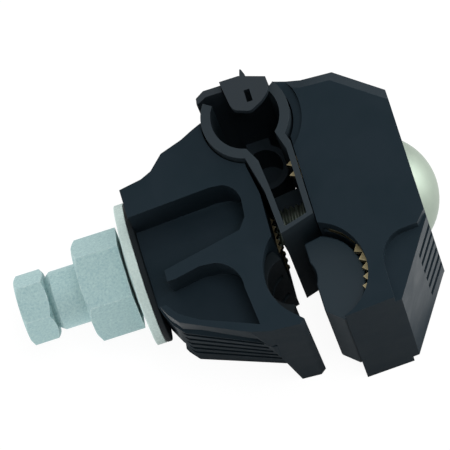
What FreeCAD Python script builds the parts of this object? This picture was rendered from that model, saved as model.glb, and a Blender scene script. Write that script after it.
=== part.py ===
import FreeCAD, Part
import math
import os

import Sketcher

# Branch clamp for insulated overhead line, lying on its back face.
# X runs along the bolt, towards its domed head. Y points to the tap groove.
# Z is the direction of both conductors and points up, out of the front face.
# The origin is on the back face, below the bolt, where the jaws part.

SIZES = {
    # Both jaws
    "BodyDepth": 46.0,
    "JawGap": 0.3,
    # Bolt and its holes
    "BoltDiameter": 8.0,
    "BoltClearance": 0.4,
    "BoltEndX": -48.0,
    "DomeDiameter": 20.65,
    "DomeHeight": 5.0,
    "DomeRim": 0.7,
    "DomeSink": 1.1,
    "NeckSquare": 8.2,
    "NeckLength": 4.6,
    "NeckClearance": 0.15,
    # Shear nut
    "ThreadClearance": 0.06,
    "ShearHex": 13.0,
    "ShearLength": 6.2,
    "StayHex": 19.0,
    "StayLength": 9.75,
    "NutTurn": 8.0,
    "CollarDiameter": 12.4,
    "CollarLength": 5.9,
    "BreakDiameter": 10.4,
    "BreakLength": 1.3,
    "NutBoreEnd": 2.0,
    "NutChamfer": 1.1,
    # Washers under the nut
    "WasherDiameter": 30.0,
    "WasherThickness": 2.0,
    "WasherHole": 9.0,
    "WasherDish": 1.2,
    "SealWasherThickness": 1.2,
    "NutSeatGap": 0.05,
    # Head jaw outline
    "SeatX": -29.4,
    "SeatTop": 10.8,
    "SeatBottom": -11.4,
    "HeadPartingX": -2.6,
    "HeadTipX": -1.5,
    "HeadTipY": -26.5,
    "PartingBottom": -8.1,
    "PocketDepth": 13.0,
    "PocketDraft": 3.0,
    "ArmDraft": 6.5,
    "BossRadius": 11.4,
    "BossLength": 19.0,
    # Grip grooves on both jaws
    "GripCount": 6,
    "GripPitch": 5.5,
    "GripWidth": 2.5,
    "GripDepth": 1.2,
    "ArmGripDepth": 0.7,
    "GripLength": 7.0,
    # Base jaw outline
    "BasePartingX": 6.6,
    "BaseRight": 27.6,
    "BaseTop": 21.9,
    "BaseBottom": -28.7,
    "TopBevel": 2.4,
    "ScoopDepth": 3.0,
    # Tap ring and its seats
    "TapX": -0.8,
    "TapY": 16.9,
    "RingOuter": 9.0,
    "RingInner": 7.0,
    "RingProud": 2.4,
    "RingClearance": 0.3,
    "CounterRadius": 11.2,
    "CounterDepth": 2.0,
    "TailWall": 1.2,
    "LoopBack": 1.0,
    "WebBack": 12.6,
    "WebThickness": 1.8,
    # Run groove, its seals and its cable space
    "RunX": 3.1,
    "RunY": -18.4,
    "RunRadius": 10.6,
    "RunRecess": 6.0,
    "SealClearance": 0.2,
    "CableX": -1.7,
    "CableY": -16.4,
    "CableRadius": 5.0,
    "GutterRadius": 7.4,
    "LipThickness": 3.0,
    "InsertLeft": 2.7,
    # Contact plates
    "BladeThickness": 1.8,
    "BladeInset": 4.0,
    "HeadBladeOffset": 5.6,
    "BladeClearance": 0.1,
    "BladeBand": 3.0,
    "ToothDepth": 1.4,
    "GrooveTeeth": 5,
    "GrooveToothTurn": 11.5,
    "GrooveToothEnd": -32.0,
    "TapToothDepth": 2.6,
    "TapTeeth": 2,
    "TapToothPitch": 2.3,
    "TapToothTop": 7.6,
    # End cap
    "StrapBottom": 22.9,
    "StrapThickness": 1.8,
    "StrapLeft": -9.0,
    "StrapRight": 6.0,
    "StrapFall": 1.3,
    "TabLeft": -3.7,
    "TabBottom": 16.8,
    "TabThickness": 1.6,
    "TabGap": 0.3,
    "EyeWidth": 1.2,
    "EyeLength": 2.6,
    "EyeX": 1.1,
    "EyeY": 21.5,
    "TailTop": 27.0,
    "CupRadius": 5.0,
    "CupWall": 1.2,
    "CupLength": 13.0,
    "CupBack": 1.0,
}


class Size:
    """A length with the sheet expression that it comes from."""

    def __init__(self, value, text):
        self.value = float(value)
        self.text = text

    def __add__(self, other):
        other = as_size(other)
        return Size(self.value + other.value, "(%s + %s)" % (self.text, other.text))

    def __sub__(self, other):
        other = as_size(other)
        return Size(self.value - other.value, "(%s - %s)" % (self.text, other.text))

    def __mul__(self, other):
        other = as_size(other)
        return Size(self.value * other.value, "(%s * %s)" % (self.text, other.text))

    def __truediv__(self, other):
        other = as_size(other)
        return Size(self.value / other.value, "(%s / %s)" % (self.text, other.text))

    def __radd__(self, other):
        return as_size(other) + self

    def __rsub__(self, other):
        return as_size(other) - self

    def __rmul__(self, other):
        return as_size(other) * self

    def __neg__(self):
        return Size(-self.value, "(-1 * %s)" % self.text)


def as_size(number):
    if isinstance(number, Size):
        return number
    return Size(number, "(%r)" % float(number))


def size(name):
    return Size(SIZES[name], "Sizes." + name)


def cosine(degrees):
    angle = as_size(degrees)
    return Size(math.cos(math.radians(angle.value)), "cos(%s)" % angle.text)


def sine(degrees):
    angle = as_size(degrees)
    return Size(math.sin(math.radians(angle.value)), "sin(%s)" % angle.text)


def polar(centre, radius, degrees):
    """The point at an angle on a circle."""
    return (centre[0] + radius * cosine(degrees), centre[1] + radius * sine(degrees))


doc = FreeCAD.newDocument("BranchClamp")
sheet = doc.addObject("Spreadsheet::Sheet", "Sizes")
for row, (name, value) in enumerate(SIZES.items(), start=1):
    sheet.set("A%d" % row, name)
    sheet.set("B%d" % row, str(value))
    sheet.setAlias("B%d" % row, name)
doc.recompute()

depth = size("BodyDepth")
axis_height = depth / 2
sub_parts = []


def new_body(name):
    body = doc.addObject("PartDesign::Body", name)
    body.Label = name
    sub_parts.append(body)
    return body


def origin_feature(body, role):
    return [item for item in body.Origin.OriginFeatures if item.Role == role][0]


def new_sketch(body, name, plane="XY_Plane", height=0.0):
    """A sketch on one of the body's own planes, moved along the plane's normal."""
    sketch = body.newObject("Sketcher::SketchObject", name)
    sketch.AttachmentSupport = [(origin_feature(body, plane), "")]
    sketch.MapMode = "FlatFace"
    height = as_size(height)
    sketch.AttachmentOffset = FreeCAD.Placement(
        FreeCAD.Vector(0, 0, height.value), FreeCAD.Rotation()
    )
    sketch.setExpression("AttachmentOffset.Base.z", height.text)
    return sketch


def constrain(sketch, kind, items, value):
    """Adds a dimension to a sketch and binds it to the sheet."""
    value = as_size(value)
    number = sketch.addConstraint(Sketcher.Constraint(kind, *items, value.value))
    sketch.setExpression("Constraints[%d]" % number, value.text)


def fix_point(sketch, item, place, point):
    constrain(sketch, "DistanceX", (-1, 1, item, place), point[0])
    constrain(sketch, "DistanceY", (-1, 1, item, place), point[1])


def arc_centre(start, end, radius, left):
    """Centre of the short arc between two points that turns left or right."""
    dx = end[0] - start[0]
    dy = end[1] - start[1]
    chord = math.hypot(dx, dy)
    rise = math.sqrt(max(radius**2 - chord**2 / 4, 0))
    side = 1 if left else -1
    return (
        (start[0] + end[0]) / 2 - side * dy / chord * rise,
        (start[1] + end[1]) / 2 + side * dx / chord * rise,
    )


def add_outline(sketch, points):
    """Draws a closed outline. A point is (x, y), or (x, y, radius, "left" or "right") where the
    run that ends there is an arc that turns that way."""
    count = len(points)
    ends = []
    for index in range(count):
        start = points[index - 1]
        end = points[index]
        first = (as_size(start[0]).value, as_size(start[1]).value)
        last = (as_size(end[0]).value, as_size(end[1]).value)
        if len(end) == 2:
            line = Part.LineSegment(FreeCAD.Vector(*first, 0), FreeCAD.Vector(*last, 0))
            ends.append((sketch.addGeometry(line, False), 1, 2))
            continue
        left = end[3] == "left"
        radius = as_size(end[2]).value
        centre = arc_centre(first, last, radius, left)
        angles = [math.atan2(p[1] - centre[1], p[0] - centre[0]) for p in (first, last)]
        if not left:
            angles.reverse()
        if angles[1] < angles[0]:
            angles[1] += 2 * math.pi
        circle = Part.Circle(FreeCAD.Vector(*centre, 0), FreeCAD.Vector(0, 0, 1), radius)
        number = sketch.addGeometry(Part.ArcOfCircle(circle, *angles), False)
        ends.append((number, 1, 2) if left else (number, 2, 1))
    for index, (number, begin, finish) in enumerate(ends):
        follower, next_begin, _ = ends[(index + 1) % count]
        sketch.addConstraint(Sketcher.Constraint("Coincident", number, finish, follower, next_begin))
        fix_point(sketch, number, finish, points[index])
        if len(points[index]) == 4:
            constrain(sketch, "Radius", (number,), points[index][2])


def add_circle(sketch, centre, radius):
    place = FreeCAD.Vector(as_size(centre[0]).value, as_size(centre[1]).value, 0)
    circle = Part.Circle(place, FreeCAD.Vector(0, 0, 1), as_size(radius).value)
    number = sketch.addGeometry(circle, False)
    fix_point(sketch, number, 3, centre)
    constrain(sketch, "Radius", (number,), radius)


def between(first, last, share):
    """The point at a share of the way from one point to another."""
    return tuple(as_size(a) + (as_size(b) - a) * share for a, b in zip(first, last))


def rectangle(left, bottom, right, top):
    return [(left, bottom), (right, bottom), (right, top), (left, top)]


def hexagon(across, turn):
    """Corners of a hexagon about the sketch's origin, turned from having flats above and below."""
    corner = as_size(across) / math.sqrt(3)
    middle = (as_size(0), as_size(0))
    return [polar(middle, corner, as_size(turn) + 60.0 * step) for step in range(6)]


def pad(body, sketch, name, length, backwards=False):
    feature = body.newObject("PartDesign::Pad", name)
    feature.Profile = sketch
    length = as_size(length)
    feature.Length = length.value
    feature.setExpression("Length", length.text)
    feature.Reversed = backwards
    return feature


def pocket(body, sketch, name, length, along_normal=False, draft=None):
    """Cuts a sketch into the body and makes sure that it took material away."""
    doc.recompute()
    before = body.Shape.Volume
    feature = body.newObject("PartDesign::Pocket", name)
    feature.Profile = sketch
    length = as_size(length)
    feature.Length = length.value
    feature.setExpression("Length", length.text)
    feature.Reversed = along_normal
    if draft is not None:
        feature.TaperAngle = draft.value
        feature.setExpression("TaperAngle", draft.text)
    doc.recompute()
    if body.Shape.Volume > before - 0.01:
        raise ValueError("%s cuts nothing from %s" % (name, body.Label))
    return feature


def pocket_both_faces(body, name, points, length, draft=None):
    """Cuts the same outline into the front face and the back face."""
    front = new_sketch(body, name + "FrontSketch", height=depth)
    add_outline(front, points)
    pocket(body, front, name + "Front", length, draft=draft)
    back = new_sketch(body, name + "BackSketch")
    add_outline(back, points)
    pocket(body, back, name + "Back", length, along_normal=True, draft=draft)


def slot_through(body, name, points, bottom, top):
    """Cuts an outline between two heights."""
    sketch = new_sketch(body, name + "Sketch", height=bottom)
    add_outline(sketch, points)
    return pocket(body, sketch, name, as_size(top) - as_size(bottom), along_normal=True)


def repeat_up(body, feature, name, pitch, count):
    """Repeats a cut along Z."""
    pattern = body.newObject("PartDesign::LinearPattern", name)
    pattern.Originals = [feature]
    pattern.Direction = (origin_feature(body, "Z_Axis"), [""])
    run = as_size(pitch) * (as_size(count) - 1)
    pattern.Length = run.value
    pattern.setExpression("Length", run.text)
    pattern.Occurrences = int(as_size(count).value)
    pattern.setExpression("Occurrences", as_size(count).text)
    body.Tip = pattern
    return pattern


def round_edges(body, feature, name, chosen, radius, kind="PartDesign::Fillet"):
    """Rounds or bevels the edges that the test picks."""
    doc.recompute()
    edges = ["Edge%d" % (i + 1) for i, edge in enumerate(feature.Shape.Edges) if chosen(edge)]
    if not edges:
        raise ValueError("%s finds no edge" % name)
    rounding = body.newObject(kind, name)
    rounding.Base = (feature, edges)
    radius = as_size(radius)
    field = "Radius" if kind == "PartDesign::Fillet" else "Size"
    setattr(rounding, field, radius.value)
    rounding.setExpression(field, radius.text)
    body.Tip = rounding
    return rounding


tap = (size("TapX"), size("TapY"))
run = (size("RunX"), size("RunY"))
cable = (size("CableX"), size("CableY"))
seat = size("SeatX")
parting = size("HeadPartingX")
parting_bottom = size("PartingBottom")
base_parting = size("BasePartingX")
base_right = size("BaseRight")
base_bottom = size("BaseBottom")
blade = size("BladeThickness")
base_blade_levels = {
    "front": depth - size("BladeInset") - blade,
    "back": size("BladeInset"),
}
head_blade_levels = {
    "front": axis_height + size("HeadBladeOffset"),
    "back": axis_height - size("HeadBladeOffset") - blade,
}
blade_gap = size("BladeClearance")
gutter = size("GutterRadius")
tap_teeth_low = size("TapToothTop") - size("TapToothPitch") * size("TapTeeth")
groove_teeth_end = size("GrooveToothEnd")
groove_teeth_start = groove_teeth_end + size("GrooveToothTurn") * size("GrooveTeeth")
ring_seat = size("RingOuter") + size("RingClearance")
grip_start = (depth - size("GripPitch") * (size("GripCount") - 1) - size("GripWidth")) / 2


# The head jaw: the moulding on the nut's side

arm_front = [
    (-28.6, -14.4),
    (-27.2, -17.4),
    (-25.4, -19.7),
    (-21.8, -21.8),
    (-12.5, -25.8),
    (-8.8, -26.9),
]


# Each stretch of the lower arm has the same slope at its front and its back edge, so that the face
# between them is flat although it leans
arm_slopes = [-6.98, -3.16, -2.0, -1.25, -0.496, -1.0625]
arm_lean_front_x = [-30.6, -29.6, -28.65, -27.2, -25.4, -12.5, -10.9]
arm_lean_back_x = [-29.8, -28.3, -26.7, -25.0, -23.3, -8.4, -6.8]


def leaning_edge(places, top):
    """Corners of one edge of the leaning arm, from the height of its first corner."""
    corners = [(places[0], top)]
    for x, slope in zip(places[1:], arm_slopes):
        last_x, last_y = corners[-1]
        corners.append((x, last_y + slope * (x - last_x)))
    return corners


arm_cut_reach = 60.0
arm_lean_front = leaning_edge(arm_lean_front_x, -4.42)
arm_lean_back = leaning_edge(arm_lean_back_x, 6.0)


def head_jaw():
    body = new_body("head_jaw")
    outline = new_sketch(body, "HeadOutline")
    ring_low = polar(tap, ring_seat, 252.0)
    ring_high = polar(tap, ring_seat, 166.0)
    add_outline(
        outline,
        [
            (seat, size("SeatTop")),
            (seat, size("SeatBottom")),
            *arm_front,
            (-2.7, -27.4),
            (size("HeadTipX"), size("HeadTipY")),
            (-3.9, -24.2),
            (parting - 0.3, parting_bottom, 11.3, "right"),
            (parting, 1.0),
            (ring_low[0], ring_low[1] - 0.6),
            ring_low,
            (*ring_high, ring_seat, "right"),
            (-12.1, 18.2),
            (-14.6, 17.0),
            (-19.3, 15.5),
            (-22.3, 12.6),
            (-24.6, 11.6),
        ],
    )
    block = pad(body, outline, "HeadBlock", depth)
    doc.recompute()

    # Two deep pockets each side of the rib, on both faces, with the bolt boss left in them
    upper_pocket = [
        (seat - 1, 4.6),
        (seat - 1, -15.2),
        (-25.6, -15.2),
        (-25.3, -8.2),
        (-8.6, -4.9),
        (-6.9, -2.6),
        (-6.6, 0.4),
        (-9.4, 5.2, 4.4, "left"),
        (-12.0, 5.5),
    ]
    lower_pocket = [
        (seat - 2, -10.6),
        (seat - 2, -14.6),
        (-27.0, -15.2),
        (-25.1, -17.8),
        (-21.4, -20.2),
        (-10.2, -24.9),
        (-11.0, -16.6),
        (-15.4, -9.9, 6.2, "left"),
        (-18.4, -9.6),
        (-23.6, -10.6),
    ]
    lower_back_pocket = [
        (-21.6, -11.2),
        (-20.8, -13.6),
        (-11.8, -18.6),
        (-11.8, -15.0),
        (-15.0, -10.4),
    ]
    pocket_both_faces(body, "UpperPocket", upper_pocket, size("PocketDepth"), size("PocketDraft"))
    front_sketch = new_sketch(body, "LowerFrontSketch", height=depth)
    add_outline(front_sketch, lower_pocket)
    pocket(body, front_sketch, "LowerFront", size("PocketDepth"), draft=size("ArmDraft"))
    back_sketch = new_sketch(body, "LowerBackSketch")
    add_outline(back_sketch, lower_back_pocket)
    pocket(body, back_sketch, "LowerBack", size("PocketDepth"), along_normal=True)
    boss_sketch = new_sketch(body, "BossSketch", "YZ_Plane", seat)
    add_circle(boss_sketch, (0.0, axis_height), size("BossRadius"))
    pad(body, boss_sketch, "Boss", size("BossLength"))

    # The lower arm leans inwards, from its front edge to the back face
    back_line = new_sketch(body, "ArmBackSketch")
    add_outline(
        back_line,
        [
            *arm_lean_back,
            (arm_lean_back[-1][0], -arm_cut_reach),
            (-arm_cut_reach, -arm_cut_reach),
            (-arm_cut_reach, arm_lean_back[0][1]),
        ],
    )
    front_line = new_sketch(body, "ArmFrontSketch", height=depth)
    add_outline(
        front_line,
        [
            *arm_lean_front,
            (arm_lean_front[-1][0], -arm_cut_reach),
            (-arm_cut_reach, -arm_cut_reach),
            (-arm_cut_reach, arm_lean_front[0][1]),
        ],
    )
    lean = body.newObject("PartDesign::SubtractiveLoft", "ArmLean")
    lean.Profile = back_line
    lean.Sections = [front_line]
    lean.Ruled = True
    doc.recompute()

    # Pocket for the rubber gutter, behind the lips of the groove
    lip = size("LipThickness")
    gutter_sketch = new_sketch(body, "GutterSketch", height=lip)
    add_circle(gutter_sketch, cable, gutter + size("SealClearance"))
    pocket(body, gutter_sketch, "Gutter", depth - lip * 2, along_normal=True)

    # Hole for the bolt
    bolt_sketch = new_sketch(body, "HeadBoltSketch", "YZ_Plane", seat - 1)
    add_circle(bolt_sketch, (0.0, axis_height), size("BoltDiameter") / 2 + size("BoltClearance"))
    pocket(body, bolt_sketch, "HeadBoltHole", parting - seat + 4, along_normal=True)

    # Slots for the contact plates
    for level, bottom in head_blade_levels.items():
        slot_through(
            body,
            "HeadSlot" + level.capitalize(),
            head_blade_back_edge(blade_gap),
            bottom - blade_gap,
            bottom + blade + blade_gap,
        )

    # Grip grooves under the lower arm
    cut = size("ArmGripDepth")
    for step in range(int(SIZES["GripCount"])):
        low = grip_start + size("GripPitch") * step
        share = (low + size("GripWidth") / 2) / depth
        start = between(arm_lean_back[4], arm_lean_front[4], share)
        end = between(arm_lean_back[5], arm_lean_front[5], share)
        slot_through(
            body,
            "HeadGrip%d" % step,
            [
                (start[0] - 2.4, start[1] - 1.6),
                (end[0], end[1] - 2),
                (end[0], end[1] + cut),
                (start[0], start[1] + cut),
                (start[0] - 2.4, start[1] + cut + 1.2),
            ],
            low,
            low + size("GripWidth"),
        )
    return body


def head_blade_back_edge(gap):
    """Outline of the part of a head plate that lies in the jaw, grown by a gap."""
    return [
        (parting - 7.4 - gap, 3.0 + gap),
        (-10.4 - gap, -9.0),
        (-11.4 - gap, -20.6 - gap),
        (-5.0, -20.6 - gap),
        (-5.0, -10.7 - gap),
        (-2.4, parting_bottom + 0.9 - gap),
        (parting + 0.5, parting_bottom + 0.9 - gap),
        (parting + 0.5, 3.0 + gap),
    ]


# The base jaw: the moulding on the bolt head's side


def base_jaw():
    body = new_body("base_jaw")
    outline = new_sketch(body, "BaseOutline")
    add_outline(
        outline,
        [
            (size("StrapRight") + size("JawGap"), 23.8),
            (size("StrapRight") + size("JawGap"), 13.0),
            (base_parting, 13.0),
            (base_parting, parting_bottom),
            (6.3, base_bottom),
            (18.0, base_bottom + 0.8),
            (base_right, -13.1),
            (base_right, 14.7),
            (18.4, size("BaseTop") - 0.1),
            (11.9, size("BaseTop") + 0.3),
            (9.0, size("BaseTop") + 1.0),
        ],
    )
    block = pad(body, outline, "BaseBlock", depth)

    def on_top_front(edge):
        box = edge.BoundBox
        return (
            box.ZMin > depth.value - 0.01
            and box.XMin > 6.5
            and box.YMin > 13.8
            and box.XLength > 1
        )

    round_edges(
        body, block, "TopBevel", on_top_front, size("TopBevel"), kind="PartDesign::Chamfer"
    )

    # Seat of the tap ring, with a shallow step round it
    ring_sketch = new_sketch(body, "RingSeatSketch")
    add_circle(ring_sketch, tap, ring_seat)
    pocket(body, ring_sketch, "RingSeat", depth, along_normal=True)
    step_sketch = new_sketch(body, "RingStepSketch", height=depth)
    add_circle(step_sketch, tap, size("CounterRadius"))
    pocket(body, step_sketch, "RingStep", size("CounterDepth"))

    # Run groove
    run_sketch = new_sketch(body, "RunGrooveSketch")
    add_circle(run_sketch, run, size("RunRadius"))
    pocket(body, run_sketch, "RunGroove", depth, along_normal=True)

    # Scooped corner beside the groove, on both faces
    scoop = [
        (base_right + 1, -11.2),
        (25.5, -14.7),
        (21.9, -14.9),
        (16.8, -20.3, 6.0, "left"),
        (16.6, -29.5),
        (base_right + 1, -29.5),
    ]
    pocket_both_faces(body, "Scoop", scoop, size("ScoopDepth"))

    # Bolt hole, square socket and sink for the dome
    bolt_sketch = new_sketch(body, "BaseBoltSketch", "YZ_Plane", base_right + 1)
    add_circle(bolt_sketch, (0.0, axis_height), size("BoltDiameter") / 2 + size("BoltClearance"))
    pocket(body, bolt_sketch, "BaseBoltHole", base_right - base_parting + 4)
    dome_sketch = new_sketch(body, "DomeSinkSketch", "YZ_Plane", base_right + 1)
    add_circle(dome_sketch, (0.0, axis_height), size("DomeDiameter") / 2 + size("JawGap"))
    pocket(body, dome_sketch, "DomeSink", size("DomeSink") + 1)
    socket = size("NeckSquare") / 2 + size("NeckClearance")
    socket_sketch = new_sketch(body, "SocketSketch", "YZ_Plane", base_right + 1)
    add_outline(
        socket_sketch, rectangle(-socket, axis_height - socket, socket, axis_height + socket)
    )
    pocket(body, socket_sketch, "Socket", size("DomeSink") + size("NeckLength") + 1.5)

    # Slots for the contact plates
    for level, bottom in base_blade_levels.items():
        slot_through(
            body,
            "BaseSlot" + level.capitalize(),
            base_blade_edge(blade_gap),
            bottom - blade_gap,
            bottom + blade + blade_gap,
        )

    # Grip slots in the lower right side
    corner = (base_right, as_size(-13.1))
    slope = math.degrees(math.atan2(-14.8, -9.6))
    along = (cosine(slope), sine(slope))
    inward = (along[1], -along[0])
    cut = size("GripDepth")
    length = size("GripLength")
    far = (corner[0] + along[0] * length, corner[1] + along[1] * length)
    groove = slot_through(
        body,
        "BaseGrip",
        [
            (corner[0] - along[0] - inward[0], corner[1] - along[1] - inward[1]),
            (corner[0] - along[0] + inward[0] * cut, corner[1] - along[1] + inward[1] * cut),
            (far[0] + inward[0] * cut, far[1] + inward[1] * cut),
            (far[0] - inward[0], far[1] - inward[1]),
        ],
        grip_start,
        grip_start + size("GripWidth"),
    )
    repeat_up(body, groove, "BaseGrips", size("GripPitch"), size("GripCount"))
    return body


def base_blade_edge(gap):
    """Outline of the part of a base plate that lies in the jaw, grown by a gap."""
    outer = size("RunRadius") + size("BladeBand") + gap
    return [
        (base_parting - 0.6, 8.0 + gap),
        (base_parting - 0.6, parting_bottom + 1.4 - gap),
        (base_parting + 0.6, parting_bottom + 1.4 - gap),
        polar(run, size("RunRadius") - 1.2, 62.0),
        polar(run, size("RunRadius") - 1.2, -34.0),
        polar(run, outer, -34.0),
        (*polar(run, outer, 56.0), outer, "left"),
        (base_parting + 4.6 + gap, -4.0),
        (base_parting + 4.6 + gap, 8.0 + gap),
    ]


# Bolt, nut and washers, each built about its own axis and set at the bolt's height


def set_on_axis(body):
    body.setExpression("Placement.Base.z", axis_height.text)


def carriage_bolt():
    body = new_body("carriage_bolt")
    radius = size("BoltDiameter") / 2
    under_head = base_right - size("DomeSink")
    rim = under_head + size("DomeRim")
    rise = size("DomeHeight")
    half = size("DomeDiameter") / 2
    dome_radius = (half * half + rise * rise) / (rise * 2)
    tip = size("BoltEndX")
    profile = new_sketch(body, "BoltProfile")
    add_outline(
        profile,
        [
            (tip, 0.0),
            (rim + rise, 0.0),
            (rim, half, dome_radius, "left"),
            (under_head, half),
            (under_head, radius),
            (tip + 1, radius),
            (tip, radius - 1),
        ],
    )
    turned = body.newObject("PartDesign::Revolution", "BoltTurned")
    turned.Profile = profile
    turned.ReferenceAxis = (profile, ["H_Axis"])
    turned.Angle = 360.0
    square = size("NeckSquare") / 2
    neck_sketch = new_sketch(body, "NeckSketch", "YZ_Plane", under_head - size("NeckLength"))
    add_outline(neck_sketch, rectangle(-square, -square, square, square))
    pad(body, neck_sketch, "SquareNeck", size("NeckLength"))
    set_on_axis(body)
    return body


washer_face = seat - size("SealWasherThickness")
washer_crown = washer_face - size("WasherThickness") - size("WasherDish")
nut_seat = washer_crown - size("NutSeatGap")


def shear_nut():
    body = new_body("shear_nut")
    stay_end = nut_seat - size("StayLength")
    collar_end = stay_end - size("CollarLength")
    break_end = collar_end - size("BreakLength")
    nut_end = break_end - size("ShearLength")
    chamfer = size("NutChamfer")

    stay_sketch = new_sketch(body, "StayHexSketch", "YZ_Plane", stay_end)
    add_outline(stay_sketch, hexagon(size("StayHex"), size("NutTurn")))
    pad(body, stay_sketch, "StayHex", size("StayLength"))
    collar_sketch = new_sketch(body, "CollarSketch")
    add_outline(
        collar_sketch,
        [
            (stay_end + 1, 0.0),
            (stay_end + 1, size("CollarDiameter") / 2),
            (collar_end, size("CollarDiameter") / 2),
            (break_end, size("BreakDiameter") / 2),
            (break_end - 1, size("BreakDiameter") / 2),
            (break_end - 1, 0.0),
        ],
    )
    collar = body.newObject("PartDesign::Revolution", "Collar")
    collar.Profile = collar_sketch
    collar.ReferenceAxis = (collar_sketch, ["H_Axis"])
    collar.Angle = 360.0
    shear_sketch = new_sketch(body, "ShearHexSketch", "YZ_Plane", nut_end)
    add_outline(shear_sketch, hexagon(size("ShearHex"), size("NutTurn")))
    pad(body, shear_sketch, "ShearHex", size("ShearLength"))

    # The corners of both hexes are turned off at a slant
    turn_corners(body, "StayOuter", stay_end, size("StayHex"), chamfer)
    turn_corners(body, "ShearInner", break_end, size("ShearHex"), -chamfer)
    turn_corners(body, "ShearOuter", nut_end, size("ShearHex"), chamfer)

    # Blind bore that runs on the bolt
    bore = size("BoltDiameter") / 2 + size("ThreadClearance")
    bore_sketch = new_sketch(body, "NutBoreSketch", "YZ_Plane", nut_seat + 1)
    add_circle(bore_sketch, (0.0, 0.0), bore)
    pocket(body, bore_sketch, "NutBore", nut_seat - nut_end - size("NutBoreEnd") + 1)
    set_on_axis(body)
    return body


def turn_corners(body, name, end, across, reach):
    """Cuts the corners of a hex back from one end, down to its flats."""
    doc.recompute()
    before = body.Shape.Volume
    outer = across / 2 * 1.35
    ring_sketch = new_sketch(body, name + "Sketch")
    add_outline(
        ring_sketch,
        [
            (end, across / 2),
            (end + reach, across / 2 + reach * 1.7 * (1 if reach.value > 0 else -1)),
            (end + reach, outer),
            (end - reach * 0.01, outer),
            (end - reach * 0.01, across / 2),
        ],
    )
    cut = body.newObject("PartDesign::Groove", name)
    cut.Profile = ring_sketch
    cut.ReferenceAxis = (ring_sketch, ["H_Axis"])
    cut.Angle = 360.0
    doc.recompute()
    if body.Shape.Volume > before - 0.01:
        raise ValueError("%s cuts nothing" % name)


def washer(name, face, thickness, dish):
    """A washer behind a face, whose middle stands away from it by the dish."""
    body = new_body(name)
    sketch = new_sketch(body, name + "Sketch")
    rim = size("WasherDiameter") / 2
    hole = size("WasherHole") / 2
    add_outline(
        sketch,
        [
            (face, rim),
            (face - thickness, rim),
            (face - thickness - dish, hole),
            (face - dish, hole),
        ],
    )
    turned = body.newObject("PartDesign::Revolution", name + "Turned")
    turned.Profile = sketch
    turned.ReferenceAxis = (sketch, ["H_Axis"])
    turned.Angle = 360.0
    set_on_axis(body)
    return body


# Rubber pieces


def tap_seal():
    """A ring open at the top, whose tail walls close in a slanting foot above the run groove."""
    body = new_body("tap_seal")
    outer = size("RingOuter")
    inner = size("RingInner")
    wall = size("TailWall")
    right = base_parting - 0.2
    foot = parting_bottom + 0.9
    sketch = new_sketch(body, "LoopSketch", height=size("LoopBack"))
    add_outline(
        sketch,
        [
            polar(tap, outer, 145.0),
            (*polar(tap, outer, 200.0), outer, "left"),
            (*polar(tap, outer, 254.0), outer, "left"),
            (-1.5, 0.6),
            (-0.9, foot - 1.9),
            (right, foot + 0.2),
            (right, 8.9),
            polar(tap, outer, -43.0),
            (*polar(tap, outer, 35.0), outer, "left"),
            polar(tap, inner, 35.0),
            (*polar(tap, inner, -47.0), inner, "right"),
            (right - wall, 7.6),
            (right - wall, foot + 0.7),
            (0.3, foot - 0.6),
            (-0.3, 0.8),
            (-0.9, 7.0),
            polar(tap, inner, 256.0),
            (*polar(tap, inner, 200.0), inner, "right"),
            (*polar(tap, inner, 145.0), inner, "right"),
        ],
    )
    pad(body, sketch, "Loop", depth + size("RingProud") - size("LoopBack"))
    # A web closes the throat between the tail walls behind the bolt
    web_sketch = new_sketch(body, "ThroatWebSketch", height=size("WebBack"))
    add_outline(
        web_sketch,
        [
            (-1.1, 7.0),
            (-0.5, 0.8),
            (-0.2, foot - 1.0),
            (right - wall / 2, foot + 0.5),
            (right - wall / 2, 7.8),
        ],
    )
    pad(body, web_sketch, "ThroatWeb", size("WebThickness"))
    bolt_way = new_sketch(body, "LoopBoltSketch", "YZ_Plane", -3.0)
    add_circle(bolt_way, (0.0, axis_height), size("BoltDiameter") / 2 + size("BoltClearance"))
    pocket(body, bolt_way, "LoopBoltHole", right + 4, along_normal=True)
    # Openings that let the teeth of the base plates through
    for level, bottom in base_blade_levels.items():
        slot_through(
            body,
            "LoopSlot" + level.capitalize(),
            rectangle(right - wall - 0.6, tap_teeth_low - 0.4, right + 0.6, 8.4),
            bottom - blade_gap * 2,
            bottom + blade + blade_gap * 2,
        )
    return body


def head_run_seal():
    """Rubber gutter behind the lips of the head jaw's groove."""
    body = new_body("head_run_seal")
    recess = size("RunRecess")
    sketch = new_sketch(body, "GutterSealSketch", height=recess)
    radius = size("CableRadius")
    add_outline(
        sketch,
        [
            polar(cable, radius, 100.0),
            (*polar(cable, radius, 180.0), radius, "left"),
            (*polar(cable, radius, 260.0), radius, "left"),
            polar(cable, gutter, 254.0),
            (*polar(cable, gutter, 180.0), gutter, "right"),
            (*polar(cable, gutter, 106.0), gutter, "right"),
        ],
    )
    pad(body, sketch, "GutterSeal", depth - recess * 2)
    for level, bottom in head_blade_levels.items():
        slot_through(
            body,
            "GutterSlot" + level.capitalize(),
            [
                polar(cable, radius - 0.5, 112.0),
                (*polar(cable, radius - 0.5, 218.0), radius - 0.5, "left"),
                polar(cable, gutter + 0.5, 218.0),
                (*polar(cable, gutter + 0.5, 112.0), gutter + 0.5, "right"),
            ],
            bottom - blade_gap,
            bottom + blade + blade_gap,
        )
    return body


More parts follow.
